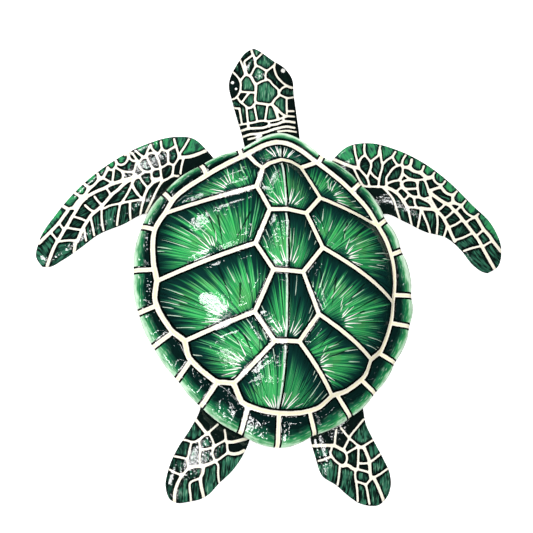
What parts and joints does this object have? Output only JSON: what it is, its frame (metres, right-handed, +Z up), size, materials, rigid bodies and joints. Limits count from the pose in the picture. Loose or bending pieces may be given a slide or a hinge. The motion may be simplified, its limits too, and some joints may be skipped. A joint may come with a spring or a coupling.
{
  "type": "painted sea turtle plaque",
  "caption": "Glossy hand-painted sea turtle ornament: domed scuted shell with a lifted rim, long front flippers, short hind flippers and a turned head, lying flat on its belly.",
  "frame": {"origin": "on the flat underside of the belly plate, below the middle of the shell", "axes": "+Z up out of the shell's back, +Y towards the head, +X towards the turtle's right flipper"},
  "size_m": [0.426, 0.4066, 0.0573],
  "materials": {
    "shell": "cast resin, hand painted in greens with cream seams, high gloss varnish",
    "head": "cast resin, painted dark green scales with cream lines, high gloss varnish",
    "flipper": "cast resin, painted dark green scales with cream lines, high gloss varnish",
    "plastron": "cast resin, plain dark paint, satin"
  },
  "bodies": {
    "root": {"shell": "shell", "head": "head", "front_flipper_left": "flipper", "front_flipper_right": "flipper", "hind_flipper_left": "flipper", "hind_flipper_right": "flipper", "plastron": "plastron"}
  },
  "joints": []
}
